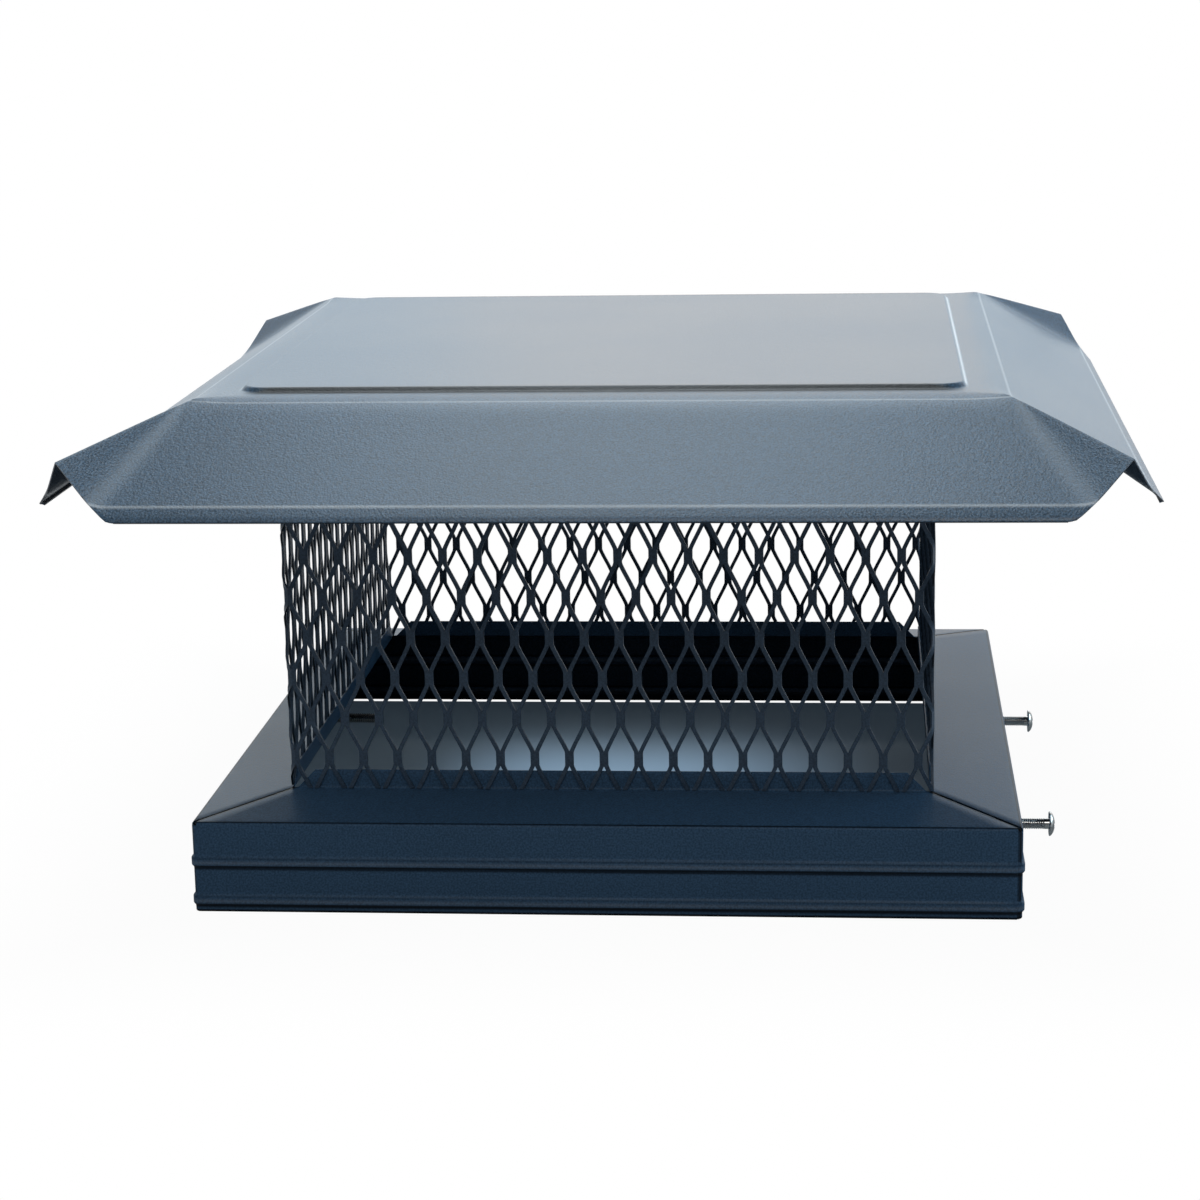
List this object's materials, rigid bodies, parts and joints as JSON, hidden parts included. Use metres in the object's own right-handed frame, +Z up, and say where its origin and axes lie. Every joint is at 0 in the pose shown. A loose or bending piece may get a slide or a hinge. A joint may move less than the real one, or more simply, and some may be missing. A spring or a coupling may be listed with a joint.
{
  "type": "chimney cap",
  "caption": "Square single-flue chimney cap: folded sheet-metal hood over an expanded-metal screen on a skirted collar, with side screws that clamp the flue tile.",
  "frame": {"origin": "middle of the square on which the skirt's bottom rim lies", "axes": "+Z up, towards the hood; -Y towards the front; the clamp screws are on the -X and +X sides"},
  "size_m": [0.6, 0.6, 0.2895],
  "materials": {
    "hood_paint": "semi-gloss dark slate enamel",
    "collar_paint": "semi-gloss dark slate enamel",
    "screen_paint": "semi-gloss dark slate enamel on expanded metal",
    "rail_paint": "semi-gloss dark slate enamel",
    "nut_zinc": "zinc plated",
    "screw_zinc": "bright zinc plated"
  },
  "bodies": {
    "cap": {"base_collar": "collar_paint", "hood": "hood_paint", "screen_front": "screen_paint", "rail_front": "rail_paint", "screen_right": "screen_paint", "rail_right": "rail_paint", "screen_back": "screen_paint", "rail_back": "rail_paint", "screen_left": "screen_paint", "rail_left": "rail_paint", "weld_nut_front_right": "nut_zinc", "weld_nut_front_left": "nut_zinc", "weld_nut_back_right": "nut_zinc", "weld_nut_back_left": "nut_zinc"},
    "clamp_screw_front_right": {"clamp_screw_front_right": "screw_zinc"},
    "clamp_screw_front_left": {"clamp_screw_front_left": "screw_zinc"},
    "clamp_screw_back_right": {"clamp_screw_back_right": "screw_zinc"},
    "clamp_screw_back_left": {"clamp_screw_back_left": "screw_zinc"}
  },
  "joints": [
    {"name": "front_right_screw_travel", "type": "slide", "parent": "cap", "child": "clamp_screw_front_right", "axis": [-1, 0, 0], "range_m": [-0.0228, 0.0208]},
    {"name": "front_left_screw_travel", "type": "slide", "parent": "cap", "child": "clamp_screw_front_left", "axis": [1, 0, 0], "range_m": [-0.042, 0.0016]},
    {"name": "back_right_screw_travel", "type": "slide", "parent": "cap", "child": "clamp_screw_back_right", "axis": [-1, 0, 0], "range_m": [-0.0228, 0.0208]},
    {"name": "back_left_screw_travel", "type": "slide", "parent": "cap", "child": "clamp_screw_back_left", "axis": [1, 0, 0], "range_m": [-0.042, 0.0016]}
  ]
}
